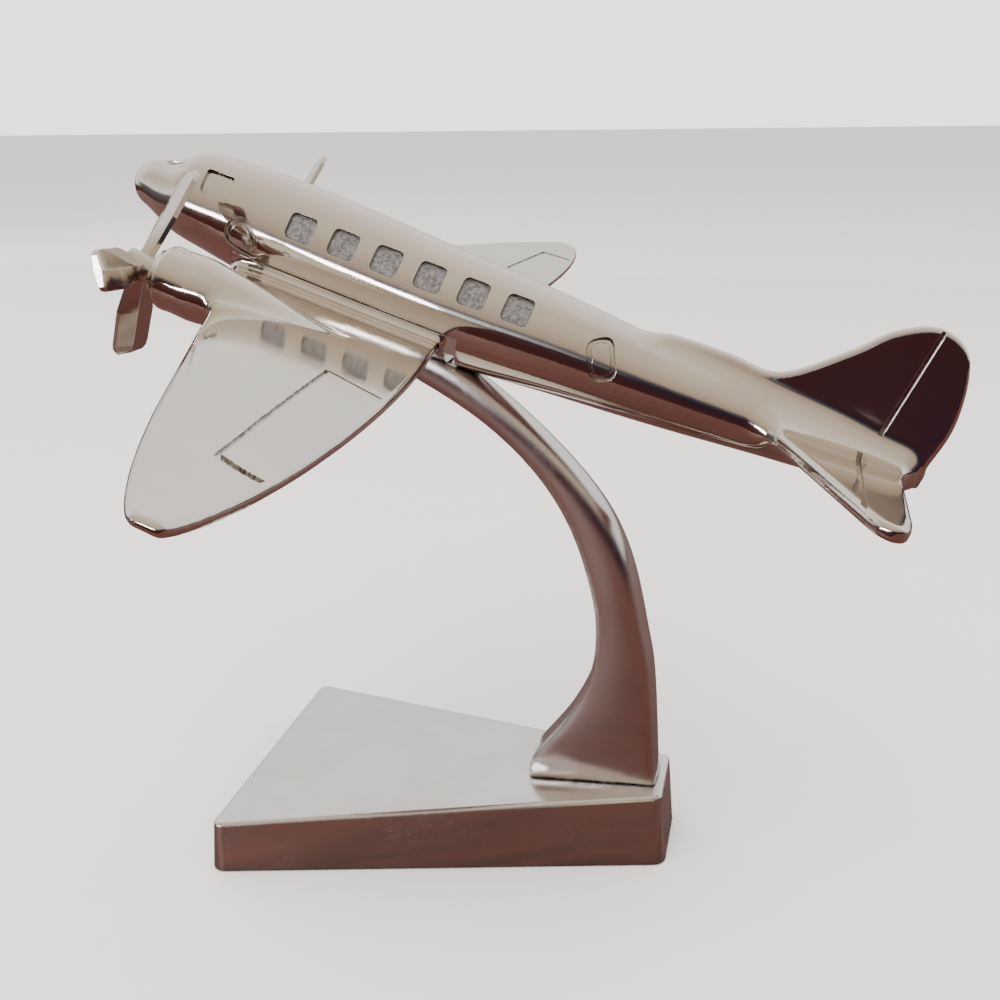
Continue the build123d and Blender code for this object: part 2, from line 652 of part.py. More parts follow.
with BuildPart() as base_screws:
    with BuildSketch(Plane.XY.offset(COUNTERBORE_TOP - WASHER_THICKNESS)):
        with Locations(*BASE_SCREWS):
            Circle(BASE_SCREW_HEAD)
    extrude(amount=-BASE_HEAD_HEIGHT)
    with BuildSketch(Plane.XY.offset(COUNTERBORE_TOP - WASHER_THICKNESS - BASE_HEAD_HEIGHT)):
        with Locations(*BASE_SCREWS):
            RegularPolygon(BASE_SCREW_HEAD / 2, 6)
    extrude(amount=BASE_SOCKET_DEPTH, mode=Mode.SUBTRACT)
    with BuildSketch(Plane.XY.offset(COUNTERBORE_TOP - WASHER_THICKNESS)):
        with Locations(*BASE_SCREWS):
            Circle(BASE_SCREW_RADIUS)
    extrude(amount=BASE_SCREW_TOP - COUNTERBORE_TOP + WASHER_THICKNESS)

with BuildPart() as base_washers:
    with BuildSketch(Plane.XY.offset(COUNTERBORE_TOP)):
        with Locations(*BASE_SCREWS):
            Circle(COUNTERBORE_RADIUS - WASHER_GAP)
            Circle(BASE_SCREW_RADIUS + WASHER_BORE_GAP, mode=Mode.SUBTRACT)
    extrude(amount=-WASHER_THICKNESS)

with BuildPart() as head_screws:
    with BuildSketch(level(HEAD_SEAT - WASHER_THICKNESS)):
        with Locations(*[(aft, 0) for aft in HEAD_SCREWS]):
            Circle(HEAD_SCREW_HEAD)
    extrude(amount=HEAD_HEAD_HEIGHT)
    with BuildSketch(level(HEAD_SEAT - WASHER_THICKNESS - HEAD_HEAD_HEIGHT)):
        with Locations(*[(aft, 0) for aft in HEAD_SCREWS]):
            RegularPolygon(HEAD_SCREW_HEAD / 2, 6)
    extrude(amount=-HEAD_SOCKET_DEPTH, mode=Mode.SUBTRACT)
    with BuildSketch(level(HEAD_SEAT - WASHER_THICKNESS)):
        with Locations(*[(aft, 0) for aft in HEAD_SCREWS]):
            Circle(HEAD_SCREW_RADIUS)
    extrude(amount=-(SEAT_LEVEL + HEAD_SCREW_BITE - SCREW_END_GAP - HEAD_SEAT + WASHER_THICKNESS))

with BuildPart() as head_washers:
    with BuildSketch(level(HEAD_SEAT)):
        with Locations(*[(aft, 0) for aft in HEAD_SCREWS]):
            Circle(HEAD_WASHER_RADIUS)
            Circle(HEAD_SCREW_RADIUS + WASHER_BORE_GAP, mode=Mode.SUBTRACT)
    extrude(amount=WASHER_THICKNESS)


# ---- finished pieces --------------------------------------------------------------------------------

pieces = {
    "fuselage": fuselage.part,
    "wing_casting": wing_casting.part,
    "propeller_port": propeller(1),
    "propeller_starboard": propeller(-1),
    "propeller_pin_port": propeller_pin(1),
    "propeller_pin_starboard": propeller_pin(-1),
    "pin_washer_port": propeller_washer(1),
    "pin_washer_starboard": propeller_washer(-1),
    "stand_arm": stand_arm.part,
    "stand_base": stand_base.part,
    "base_screws": base_screws.part,
    "base_washers": base_washers.part,
    "head_screws": head_screws.part,
    "head_washers": head_washers.part,
    "base_pad": base_pad.part,
}
os.makedirs("parts", exist_ok=True)
for name, piece in pieces.items():
    piece.label = name
    export_step(piece, f"parts/{name}.step")
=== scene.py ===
import random
from math import cos, pi, radians, sin

import bmesh
import bpy
import numpy as np
import openvdb
from mathutils import Matrix, Vector


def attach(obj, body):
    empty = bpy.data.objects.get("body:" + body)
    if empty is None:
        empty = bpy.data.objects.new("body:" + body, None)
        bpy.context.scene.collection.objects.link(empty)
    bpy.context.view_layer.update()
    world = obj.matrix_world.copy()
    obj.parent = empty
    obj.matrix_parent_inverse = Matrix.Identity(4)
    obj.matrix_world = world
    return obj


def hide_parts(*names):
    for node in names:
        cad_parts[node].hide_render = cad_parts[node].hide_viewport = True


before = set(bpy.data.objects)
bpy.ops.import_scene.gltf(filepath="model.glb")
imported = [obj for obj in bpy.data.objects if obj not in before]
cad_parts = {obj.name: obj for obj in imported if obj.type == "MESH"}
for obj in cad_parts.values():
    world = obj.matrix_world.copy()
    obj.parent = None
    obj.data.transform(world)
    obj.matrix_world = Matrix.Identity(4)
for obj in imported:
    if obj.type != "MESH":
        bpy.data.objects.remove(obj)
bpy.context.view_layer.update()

# Aircraft shapes are worked out in millimetres as (aft, port, high): behind the nose, to port, over the
# fuselage axis. Everything else, and every finished mesh, is in metres in the frame of the CAD model.
MM = 0.001
NOSE_UP = radians(19.54)
FORWARD = Vector((cos(NOSE_UP), 0, sin(NOSE_UP)))
UPWARD = Vector((-sin(NOSE_UP), 0, cos(NOSE_UP)))
PORT = Vector((0, 1, 0))
NOSE = Vector((0, 0, 151.06)) + FORWARD * 89.4

# ---- camera ---------------------------------------------------------------------------------------

# place in metres, angles as yaw from straight along -Y, pitch down and roll, lens in millimetres
EYE = Vector((-0.083506, 0.283460, 0.200734))
YAW, PITCH, ROLL = radians(13.936), radians(19.0955), radians(-0.93357)
LENS, FILM_WIDTH = 41.55, 36.0
NEAREST = 0.005


def add_camera():
    """Camera close to the port wing, looking a little down."""
    look = Vector((sin(YAW) * cos(PITCH), -cos(YAW) * cos(PITCH), -sin(PITCH)))
    level = look.cross(Vector((0, 0, 1))).normalized()
    upright = level.cross(look)
    right = level * cos(ROLL) + upright * sin(ROLL)
    above = upright * cos(ROLL) - level * sin(ROLL)
    data = bpy.data.cameras.new("camera")
    data.lens, data.sensor_width = LENS, FILM_WIDTH
    data.clip_start = NEAREST
    camera = bpy.data.objects.new("camera", data)
    bpy.context.scene.collection.objects.link(camera)
    turn = Matrix((right, above, -look)).transposed().to_4x4()
    camera.matrix_world = Matrix.Translation(EYE) @ turn
    bpy.context.scene.camera = camera


# ---- mesh helpers ---------------------------------------------------------------------------------

SHARP_ANGLE = radians(34)


def to_world(points):
    """Aircraft points in millimetres to the CAD frame in metres."""
    turn = np.array((-FORWARD, PORT, UPWARD))
    return (np.asarray(points, float) @ turn + np.array(NOSE)) * MM


def make_mesh(name, points, faces):
    """Object from world points and faces, its normals pointing out."""
    mesh = bpy.data.meshes.new(name)
    mesh.from_pydata([tuple(p) for p in points], [], [tuple(f) for f in faces])
    work = bmesh.new()
    work.from_mesh(mesh)
    bmesh.ops.recalc_face_normals(work, faces=work.faces)
    work.to_mesh(mesh)
    work.free()
    obj = bpy.data.objects.new(name, mesh)
    bpy.context.scene.collection.objects.link(obj)
    return obj


def applied(obj):
    """Turns the object's modifiers into mesh."""
    graph = bpy.context.evaluated_depsgraph_get()
    mesh = bpy.data.meshes.new_from_object(obj.evaluated_get(graph))
    obj.modifiers.clear()
    obj.data = mesh
    return obj


def cut(obj, tools, operation="DIFFERENCE"):
    """Boolean of the object with each tool in turn; the tools are used up."""
    for tool in tools:
        boolean = obj.modifiers.new("cut", "BOOLEAN")
        boolean.object = tool
        boolean.operation = operation
        boolean.solver = "MANIFOLD"
        applied(obj)
        bpy.data.objects.remove(tool)
    return obj


def finish_piece(obj, materials, node):
    """Smooth shading up to the sharp angle, materials, and its place in the frame."""
    obj.data.materials.clear()
    for material in materials:
        obj.data.materials.append(material)
    obj.data.shade_smooth()
    obj.data.set_sharp_from_angle(angle=SHARP_ANGLE)
    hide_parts(node)
    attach(obj, "root")


def prism_faces(count):
    """Faces of a prism whose two ends have so many points each."""
    ends = [tuple(range(count)), tuple(range(2 * count - 1, count - 1, -1))]
    return ends + [(i, (i + 1) % count, (i + 1) % count + count, i + count) for i in range(count)]


def prism(name, outline, plane, low, high):
    """Closed prism on an outline in the aircraft frame: plane says which axis the outline leaves out."""
    def point(a, b, c):
        return {"side": (a, c, b), "top": (a, b, c), "front": (c, a, b)}[plane]
    points = [point(a, b, end) for end in (low, high) for a, b in outline]
    return make_mesh(name, to_world(points), prism_faces(len(outline)))


def rounded(corners, radius, steps=6):
    """Polygon with its corners rounded."""
    outline = []
    count = len(corners)
    for i, corner in enumerate(corners):
        here = Vector(corner)
        before = (Vector(corners[i - 1]) - here)
        after = (Vector(corners[(i + 1) % count]) - here)
        reach = min(radius, 0.45 * before.length, 0.45 * after.length)
        start, end = here + before.normalized() * reach, here + after.normalized() * reach
        for k in range(steps + 1):
            s = k / steps
            outline.append(tuple(start * (1 - s) ** 2 + here * 2 * s * (1 - s) + end * s ** 2))
    return outline


# ---- fields: negative inside, zero on the surface ---------------------------------------------------

def spline(xs, ys):
    """Natural cubic spline through points, as a function."""
    xs, ys = np.asarray(xs, float), np.asarray(ys, float)
    gap = np.diff(xs)
    count = len(xs)
    system, right = np.eye(count), np.zeros(count)
    for i in range(1, count - 1):
        system[i, i - 1:i + 2] = gap[i - 1], 2 * (gap[i - 1] + gap[i]), gap[i]
        right[i] = 6 * ((ys[i + 1] - ys[i]) / gap[i] - (ys[i] - ys[i - 1]) / gap[i - 1])
    bend = np.linalg.solve(system, right)

    def value(x):
        x = np.clip(x, xs[0], xs[-1])
        i = np.clip(np.searchsorted(xs, x) - 1, 0, count - 2)
        a, b, g = xs[i + 1] - x, x - xs[i], gap[i]
        return ((bend[i] * a ** 3 + bend[i + 1] * b ** 3) / (6 * g)
                + (ys[i] / g - bend[i] * g / 6) * a + (ys[i + 1] / g - bend[i + 1] * g / 6) * b)
    return value


def smooth_line(points, steps=14):
    """Points along a smooth open line through the given ones."""
    line = []
    points = [np.array(p, float) for p in points]
    ends = [2 * points[0] - points[1]] + points + [2 * points[-1] - points[-2]]
    for before, start, end, after in zip(ends, ends[1:], ends[2:], ends[3:]):
        for k in range(steps):
            s = k / steps
            line.append(0.5 * (2 * start + (end - before) * s
                               + (2 * before - 5 * start + 4 * end - after) * s ** 2
                               + (3 * start - before - 3 * end + after) * s ** 3))
    return [tuple(p) for p in line + [points[-1]]]


def polygon_distance(u, v, outline):
    """Signed distance to a closed polygon in a plane."""
    near = np.full(np.broadcast(u, v).shape, 1e9)
    inside = np.zeros(near.shape, bool)
    for (au, av), (bu, bv) in zip(outline, outline[1:] + outline[:1]):
        eu, ev = bu - au, bv - av
        along = np.clip(((u - au) * eu + (v - av) * ev) / (eu * eu + ev * ev + 1e-12), 0, 1)
        near = np.minimum(near, (u - au - along * eu) ** 2 + (v - av - along * ev) ** 2)
        if av != bv:
            inside ^= ((av > v) != (bv > v)) & (u < eu * (v - av) / ev + au)
    return np.where(inside, -1, 1) * np.sqrt(near)


def plate(flat, off, half, edge):
    """Plate from its outline's distance, the distance off its middle plane and its half thickness."""
    a, b = flat + edge, off - half + edge
    return np.hypot(np.maximum(a, 0), np.maximum(b, 0)) + np.minimum(np.maximum(a, b), 0) - edge


def blend(one, two, reach):
    """Union of two fields with a fillet."""
    share = np.maximum(reach - np.abs(one - two), 0) / reach
    return np.minimum(one, two) - share * share * reach / 4


STEP = 0.6               # grid of the castings, in millimetres
FIELD_LIMIT = 3.0        # fields are only kept this far from the surface
NUDGE = 0.05             # for the slope of a field
SETTLING_ROUNDS = 3
SETTLING_REACH = 0.4 * STEP


def surface(name, field, low, high):
    """Closed mesh of a field's zero surface, its points then moved on to the surface itself."""
    low = np.array(low, float)
    axes = [np.arange(a, b, STEP) for a, b in zip(low, high)]
    values = field(axes[0][:, None, None], axes[1][None, :, None], axes[2][None, None, :])
    grid = openvdb.FloatGrid(background=FIELD_LIMIT)
    grid.copyFromArray(np.clip(values, -FIELD_LIMIT, FIELD_LIMIT).astype(np.float32))
    points, quads = grid.convertToQuads(0.0)
    points = low + points.astype(float) * STEP
    for _ in range(SETTLING_ROUNDS):
        here = field(*points.T)
        slope = np.stack([(field(*(points + d).T) - field(*(points - d).T)) / (2 * NUDGE)
                          for d in np.eye(3) * NUDGE], axis=1)
        steep = np.maximum((slope ** 2).sum(1), 0.05)
        move = -(here / steep)[:, None] * slope
        size = np.linalg.norm(move, axis=1, keepdims=True)
        points += move * np.minimum(1, SETTLING_REACH / np.maximum(size, 1e-9))
    return make_mesh(name, to_world(points), quads)


# ---- fuselage -------------------------------------------------------------------------------------

# station behind the nose, top line, bottom line, half width
FUSELAGE_LINES = np.array([
    (0.5, 5.2, 0.4, 2.4), (2.0, 7.0, -2.0, 4.6), (5.0, 8.7, -3.6, 6.6), (9.5, 10.2, -5.4, 8.7),
    (13.5, 12.4, -7.2, 10.3), (17.0, 14.6, -8.1, 11.5), (22.0, 15.6, -8.8, 12.7), (30.0, 16.3, -10.0, 13.7),
    (45.0, 16.6, -11.8, 14.4), (62.0, 16.2, -13.0, 14.6), (84.0, 15.2, -13.4, 14.3),
    (102.0, 14.6, -12.8, 13.7), (120.0, 13.7, -11.2, 12.5), (140.0, 12.1, -9.7, 10.9),
    (160.0, 10.4, -7.9, 9.2), (180.0, 8.8, -5.9, 7.4), (196.0, 7.6, -4.2, 5.9), (206.0, 6.6, -2.6, 4.4),
    (211.0, 5.6, -1.0, 2.8)])
FUSELAGE_LENGTH = 213.2
ROUNDING = np.sqrt(FUSELAGE_LINES[:, 0] * (FUSELAGE_LENGTH - FUSELAGE_LINES[:, 0]))
half_width = spline(FUSELAGE_LINES[:, 0], FUSELAGE_LINES[:, 3] / ROUNDING)
half_depth = spline(FUSELAGE_LINES[:, 0], (FUSELAGE_LINES[:, 1] - FUSELAGE_LINES[:, 2]) / 2 / ROUNDING)
mid_line = spline(FUSELAGE_LINES[:, 0], (FUSELAGE_LINES[:, 1] + FUSELAGE_LINES[:, 2]) / 2)

FIN_RIM = [(141.5, 11.2), (146.5, 13.9), (160.0, 14.8), (173.0, 15.0), (185.7, 25.4), (194.0, 34.0),
           (203.5, 38.05), (211.9, 33.6), (215.8, 18.0), (213.4, 1.0)]
FIN_OUTLINE = smooth_line(FIN_RIM) + [(208, 1), (150, 2)]
FIN_HALF, FIN_EDGE, FIN_FILLET = 1.5, 1.1, 5.0
TAIL_TIP = [(198.4, 44.4), (201.0, 47.4), (204.4, 48.3), (207.4, 46.0), (208.5, 40.0)]
TAIL_OUTLINE = [(174.6, 0), (174.6, 6.2)] + smooth_line(TAIL_TIP) + [(208.9, 0)]
TAIL_OUTLINE += [(aft, -port) for aft, port in TAIL_OUTLINE[::-1]]
TAIL_TOP, TAIL_HALF, TAIL_EDGE, TAIL_FILLET = 3.9, 1.9, 1.3, 5.5
FUSELAGE_SPACE = (-3, -52, -18), (220, 52, 43)
END_CAP = 0.25           # the tips are flattened this far in

RECESS, FLOOR_DEPTH = 0.75, 0.45
WINDOWS = [51.4 + 11.47 * i for i in range(6)]
WINDOW_HEIGHT, WINDOW_HALF, WINDOW_CORNER = 8.3, (3.5, 3.1), 1.5
COCKPIT_WINDOW = [(22.4, 13.0), (30.4, 13.2), (31.0, 7.4), (23.0, 7.6)]
HATCH = [(32.6, 3.4), (36.6, 6.6), (41.0, 3.0), (42.9, -2.9), (37.4, -2.6), (32.8, -1.2)]
WINDSCREEN = [(1.2, 9.2), (6.0, 8.4), (7.6, 10.8), (1.2, 12.2)]
DOOR_PLACE, DOOR_LEAN, DOOR_HALF = (132.0, 4.4), radians(27), (3.35, 5.1)
DOOR_CORNER, DOOR_INNER_CORNER, HATCH_CORNER, HATCH_INNER_CORNER = 2.9, 2.2, 2.0, 1.4
HATCH_INNER_SHARE = 0.66
SEAT_FRONT, SEAT_REAR, SEAT_LEVEL = 35.0, 97.2, -3.3
DOOR_GROOVE, RUDDER_GROOVE, ELEVATOR_GROOVE, GROOVE_DEPTH = 1.25, 1.1, 1.3, 0.45
RUDDER_LINE, ELEVATOR_LINE = ((203.9, 38.6), (200.9, 10.2)), ((197.6, 6.8), (197.2, 44.4))
THROUGH = 30             # cutters reach this far from the middle plane


def hull_section(aft):
    """Half width, half depth and middle height of the fuselage at a station."""
    aft = np.clip(aft, 0.02, FUSELAGE_LENGTH - 0.02)
    around = np.sqrt(aft * (FUSELAGE_LENGTH - aft))
    return half_width(aft) * around, half_depth(aft) * around, mid_line(aft)


def hull(aft, port, high):
    """Bare fuselage."""
    half, deep, middle = hull_section(aft)
    half, deep = np.maximum(half, 0.05), np.maximum(deep, 0.05)
    u, v = port / half, (high - middle) / deep
    near = np.sqrt(u * u + v * v) + 1e-6
    side = near * (near - 1) / (np.sqrt((u / half) ** 2 + (v / deep) ** 2) + 1e-6)
    return np.maximum(side, np.maximum(END_CAP - aft, aft - FUSELAGE_LENGTH + END_CAP))


def airframe(aft, port, high):
    """Fuselage with fin and tailplane run into it."""
    fin = plate(polygon_distance(aft, high, FIN_OUTLINE), np.abs(port), FIN_HALF, FIN_EDGE)
    off = np.abs(high - TAIL_TOP + TAIL_HALF)
    tail = plate(polygon_distance(aft, port, TAIL_OUTLINE), off, TAIL_HALF, TAIL_EDGE)
    return blend(blend(hull(aft, port, high), fin, FIN_FILLET), tail, TAIL_FILLET)


def inner_hull():
    """Mesh a little inside the skin: what is left of it makes the floors of the recesses."""
    stations = np.linspace(1.5, 150.0, 180)
    angles = np.linspace(0, 2 * pi, 96, endpoint=False)
    half, deep, middle = hull_section(stations)
    rings = [[(aft, (a - RECESS) * cos(w), m + (d - RECESS) * sin(w)) for w in angles]
             for aft, a, d, m in zip(stations, half, deep, middle)]
    points = [p for ring in rings for p in ring]
    n = len(angles)
    faces = [(r * n + i, r * n + (i + 1) % n, (r + 1) * n + (i + 1) % n, (r + 1) * n + i)
             for r in range(len(rings) - 1) for i in range(n)]
    faces += [tuple(range(n)), tuple(range(len(points) - 1, len(points) - n - 1, -1))]
    return make_mesh("inner_hull", to_world(points), faces)


def box_outline(centre, half, lean=0.0):
    """Corners of a rectangle about a centre, turned by an angle."""
    corners = []
    for a, b in ((-1, -1), (1, -1), (1, 1), (-1, 1)):
        a, b = a * half[0], b * half[1]
        corners.append((centre[0] + a * cos(lean) - b * sin(lean), centre[1] + a * sin(lean) + b * cos(lean)))
    return corners


def strip(start, end, width):
    """Long thin rectangle between two points."""
    start, end = Vector(start), Vector(end)
    run = (end - start).normalized() * width / 2
    side = Vector((-run.y, run.x))
    return [tuple(start - run - side), tuple(end + run - side), tuple(end + run + side),
            tuple(start - run + side)]


def fuselage_tools():
    """Everything that is cut out of the fuselage casting."""
    outlines = [rounded(box_outline((aft, WINDOW_HEIGHT), WINDOW_HALF), WINDOW_CORNER) for aft in WINDOWS]
    outlines.append(rounded(COCKPIT_WINDOW, 0.9))
    panes = [(outline, "side", -THROUGH, THROUGH) for outline in outlines]
    for side in (-1, 1):
        panes.append((rounded([(side * a, b) for a, b in WINDSCREEN], 0.8), "front", 2, 21))
    tools = []
    for outline, plane, low, high in panes:
        tools.append(cut(prism("pane", outline, plane, low, high), [inner_hull()]))
    door = rounded(box_outline(DOOR_PLACE, DOOR_HALF, DOOR_LEAN), DOOR_CORNER)
    door_inner = box_outline(DOOR_PLACE, [half - DOOR_GROOVE for half in DOOR_HALF], DOOR_LEAN)
    door_inner = rounded(door_inner, DOOR_INNER_CORNER)
    hatch_middle = Vector((sum(a for a, _ in HATCH), sum(b for _, b in HATCH))) / len(HATCH)
    hatch_inner = [tuple(hatch_middle.lerp(Vector(corner), HATCH_INNER_SHARE)) for corner in HATCH]
    hatch, hatch_inner = rounded(HATCH, HATCH_CORNER), rounded(hatch_inner, HATCH_INNER_CORNER)
    for outer, inner, low in ((door, door_inner, 0), (hatch, hatch_inner, -THROUGH)):
        ring = cut(prism("ring", outer, "side", low, THROUGH),
                   [prism("ring_inner", inner, "side", -THROUGH - 1, THROUGH + 1)])
        tools.append(cut(ring, [inner_hull()]))
    for side in (-1, 1):
        low, high = sorted((side * (FIN_HALF - GROOVE_DEPTH), side * 4))
        tools.append(prism("rudder", strip(*RUDDER_LINE, RUDDER_GROOVE), "side", low, high))
        groove = strip(*[(aft, side * port) for aft, port in ELEVATOR_LINE], ELEVATOR_GROOVE)
        tools.append(prism("elevator", groove, "top", TAIL_TOP - GROOVE_DEPTH, TAIL_TOP + 3))
    seat = box_outline(((SEAT_FRONT + SEAT_REAR) / 2, 0), ((SEAT_REAR - SEAT_FRONT) / 2, 20))
    tools.append(prism("seat", seat, "top", -THROUGH, SEAT_LEVEL))
    return tools


# ---- wing casting ---------------------------------------------------------------------------------

WING_SPACE = (27, -157, -22), (104, 157, 3)
WING_TIP_SPAN = 155.0
WING_TIP_FRONT, WING_TIP_REAR, WING_TIP_THINNING = 5.0, 6.0, 0.4
WING_CREST, WING_LEAST_HALF = 0.3, 0.8     # thickest at this part of the chord
WING_FRONT, WING_SWEEP = 37.5, 0.35
WING_TOP, WING_RISE = -6.1, 0.033
WING_ROUND_FROM = 108.0
WING_REAR, WING_ROOT_CUT = 100.8, 10.0
WING_ROOT_THICK, WING_THINNING, WING_EDGE = 7.6, 0.025, 1.25
ENGINE_OUT, ENGINE_LEVEL = 40.0, -6.9
# station behind the nose, radius
ENGINE_LINES = np.array([(30.2, 0.0), (30.6, 4.0), (31.4, 5.8), (32.8, 7.0), (35.5, 7.6), (41.0, 7.75),
                         (48.0, 6.95), (57.0, 5.5), (66.0, 3.1), (75.8, 0.2)])
ENGINE_FILLET, HULL_FILLET = 3.0, 4.5
SADDLE_FRONT, SADDLE_REAR, SADDLE_GAP = 35.15, 94.6, 0.15
BELLY_LEVEL, TONGUE_HALF = -12.5, 6.1
# the aileron's three hand-cut grooves: name, line, width, seed of the wander
AILERON_CUTS = [("hinge", [(84.3, 66.6), (86.6, 96.0), (89.4, 126.6)], 0.8, 5),
                ("inner_end", [(84.6, 66.7), (91.0, 68.8), (97.8, 70.9)], 0.7, 8),
                ("outer_end", [(89.2, 126.4), (94.0, 128.4), (98.6, 129.6)], 1.5, 2)]
AILERON_DEPTH, AILERON_ABOVE = 0.5, 4


def wing_edges(port):
    """Leading and trailing edge of the wing at a distance out, in millimetres behind the nose."""
    beyond = np.clip((port - WING_ROUND_FROM) / (WING_TIP_SPAN - WING_ROUND_FROM), 0, 1)
    round_off = 1 - np.sqrt(1 - beyond ** 2)
    front = WING_FRONT + WING_SWEEP * (port - 16) + WING_TIP_FRONT * round_off
    root = np.clip(1 - port / WING_ROUND_FROM, 0, 1)
    return front, WING_REAR - WING_ROOT_CUT * root ** 2 - WING_TIP_REAR * round_off


def wing_outline():
    """Planform of the port wing."""
    stations = np.concatenate([np.linspace(0, WING_ROUND_FROM, 24),
                               WING_ROUND_FROM + (WING_TIP_SPAN - WING_ROUND_FROM)
                               * np.sin(np.linspace(0, pi / 2, 24))[1:]])
    front, rear = wing_edges(stations)
    return list(zip(front, stations)) + list(zip(rear, stations))[::-1]


WING_OUTLINE = wing_outline()
engine_radius = spline(ENGINE_LINES[:, 0], ENGINE_LINES[:, 1])


def wing(aft, port, high):
    """One wing: flat on top, full below, rounded in front and along its trailing edge."""
    flat = polygon_distance(aft, port, WING_OUTLINE)
    front, rear = wing_edges(port)
    chord = np.clip((aft - front) / np.maximum(rear - front, 1), 0, 1)
    tip = np.clip((port - WING_ROUND_FROM) / (WING_TIP_SPAN - WING_ROUND_FROM), 0, 1) ** 2
    thick = (WING_ROOT_THICK - WING_THINNING * port) * (1 - WING_TIP_THINNING * tip)
    ahead = (WING_CREST - np.minimum(chord, WING_CREST)) / WING_CREST
    droop = 0.3 * thick * (1 - np.sqrt(np.clip(1 - ahead ** 2, 0.02, 1)))
    fall = np.clip((chord - WING_CREST) / (1 - WING_CREST), 0, 1)
    top = WING_TOP + WING_RISE * port - droop
    depth = (thick - 2 * droop) * (1 - fall) + 2 * WING_EDGE * fall
    half = np.maximum(depth / 2, WING_LEAST_HALF)
    return plate(flat, np.abs(high - top + half), half, np.minimum(WING_EDGE, half))


def engine(aft, port, high):
    """Engine and its fairing as one body of revolution."""
    out = np.hypot(port - ENGINE_OUT, high - ENGINE_LEVEL)
    body = out - engine_radius(aft)
    ends = np.maximum(ENGINE_LINES[0, 0] - aft, aft - ENGINE_LINES[-1, 0])
    return np.maximum(body, ends)


def wing_block(aft, port, high):
    """Both wings, engines and the block between them that carries on the belly."""
    side = np.abs(port)
    half = blend(wing(aft, side, high), engine(aft, side, high), ENGINE_FILLET)
    return blend(half, hull(aft, port, high), HULL_FILLET)


def ragged_cut(line, width, seed):
    """Hand-cut groove along a line: its edges wander a little."""
    rng = random.Random(seed)
    middle = [Vector(p) for p in smooth_line(line, 30)]
    edge_a, edge_b = [], []
    for i, point in enumerate(middle):
        run = (middle[min(i + 1, len(middle) - 1)] - middle[max(i - 1, 0)]).normalized()
        side = Vector((-run.y, run.x))
        edge_a.append(tuple(point + side * (width / 2 + rng.uniform(-0.05, 0.22) * width)))
        edge_b.append(tuple(point - side * (width / 2 + rng.uniform(-0.1, 0.1) * width)))
    return edge_a + edge_b[::-1]


def scribed(name, outline, side):
    """Cutter for a groove in the wing's upper surface, which rises outboard."""
    points = [(aft, side * port, WING_TOP + WING_RISE * port + offset)
              for offset in (-AILERON_DEPTH, AILERON_ABOVE) for aft, port in outline]
    return make_mesh(name, to_world(points), prism_faces(len(outline)))


def wing_tools():
    """Everything that is cut off or out of the wing casting."""
    tools = [prism("top", box_outline((80, 0), (60, 20)), "top", SEAT_LEVEL - SADDLE_GAP, 40),
             prism("ahead", box_outline((0, 0), (SADDLE_FRONT, 16)), "top", -40, 40),
             prism("behind", box_outline((SADDLE_REAR + 80, 0), (80, 16)), "top", -40, 40),
             prism("belly", box_outline((95, 0), (60, TONGUE_HALF)), "top", -40, BELLY_LEVEL)]
    for side in (1, -1):
        for name, line, width, seed in AILERON_CUTS:
            tools.append(scribed(name, ragged_cut(line, width, seed + side), side))
    return tools


# ---- materials ------------------------------------------------------------------------------------

# colour of the painted shade that darkens the polished metal's crevices
CREVICE_SHADE = (0.06, 0.05, 0.045)
PIT_COLOUR = (0.30, 0.27, 0.24)


def new_material(name):
    """Node material with its tree and its Principled shader."""
    material = bpy.data.materials.new(name)
    material.use_nodes = True
    tree = material.node_tree
    shader = tree.nodes["Principled BSDF"]
    return material, tree, shader


def noise(tree, scale, detail=4.0, stretch=(1, 1, 1), roughness=0.5):
    """Noise over the object's own coordinates; scale is in features per metre."""
    place = tree.nodes.new("ShaderNodeTexCoord")
    mapping = tree.nodes.new("ShaderNodeMapping")
    mapping.inputs["Scale"].default_value = stretch
    texture = tree.nodes.new("ShaderNodeTexNoise")
    texture.inputs["Scale"].default_value = scale
    texture.inputs["Detail"].default_value = detail
    texture.inputs["Roughness"].default_value = roughness
    tree.links.new(place.outputs["Object"], mapping.inputs["Vector"])
    tree.links.new(mapping.outputs["Vector"], texture.inputs["Vector"])
    return texture.outputs["Fac"]


def ranged(tree, value, low, high, to_low, to_high):
    """Value mapped from one range on to another."""
    node = tree.nodes.new("ShaderNodeMapRange")
    for key, number in (("From Min", low), ("From Max", high), ("To Min", to_low), ("To Max", to_high)):
        node.inputs[key].default_value = number
    tree.links.new(value, node.inputs["Value"])
    return node.outputs["Result"]


def maths(tree, operation, one, two):
    """Sum on two values or sockets."""
    node = tree.nodes.new("ShaderNodeMath")
    node.operation = operation
    for socket, value in zip(node.inputs, (one, two)):
        if isinstance(value, (int, float)):
            socket.default_value = value
        else:
            tree.links.new(value, socket)
    return node.outputs[0]


def mixed(tree, share, one, two):
    """Mix of two colours by a value."""
    node = tree.nodes.new("ShaderNodeMix")
    node.data_type = "RGBA"
    tree.links.new(share, node.inputs["Factor"])
    for socket, colour in ((node.inputs[6], one), (node.inputs[7], two)):
        if isinstance(colour, tuple):
            socket.default_value = (*colour, 1)
        else:
            tree.links.new(colour, socket)
    return node.outputs[2]


def ramped(tree, value, stops):
    """Colour ramp from (position, colour) stops."""
    node = tree.nodes.new("ShaderNodeValToRGB")
    elements = node.color_ramp.elements
    elements[0].position, elements[1].position = stops[0][0], stops[-1][0]
    for position, colour in stops[1:-1]:
        elements.new(position)
    for element, (position, colour) in zip(elements, stops):
        element.color = (*colour, 1)
    tree.links.new(value, node.inputs["Fac"])
    return node.outputs["Color"]


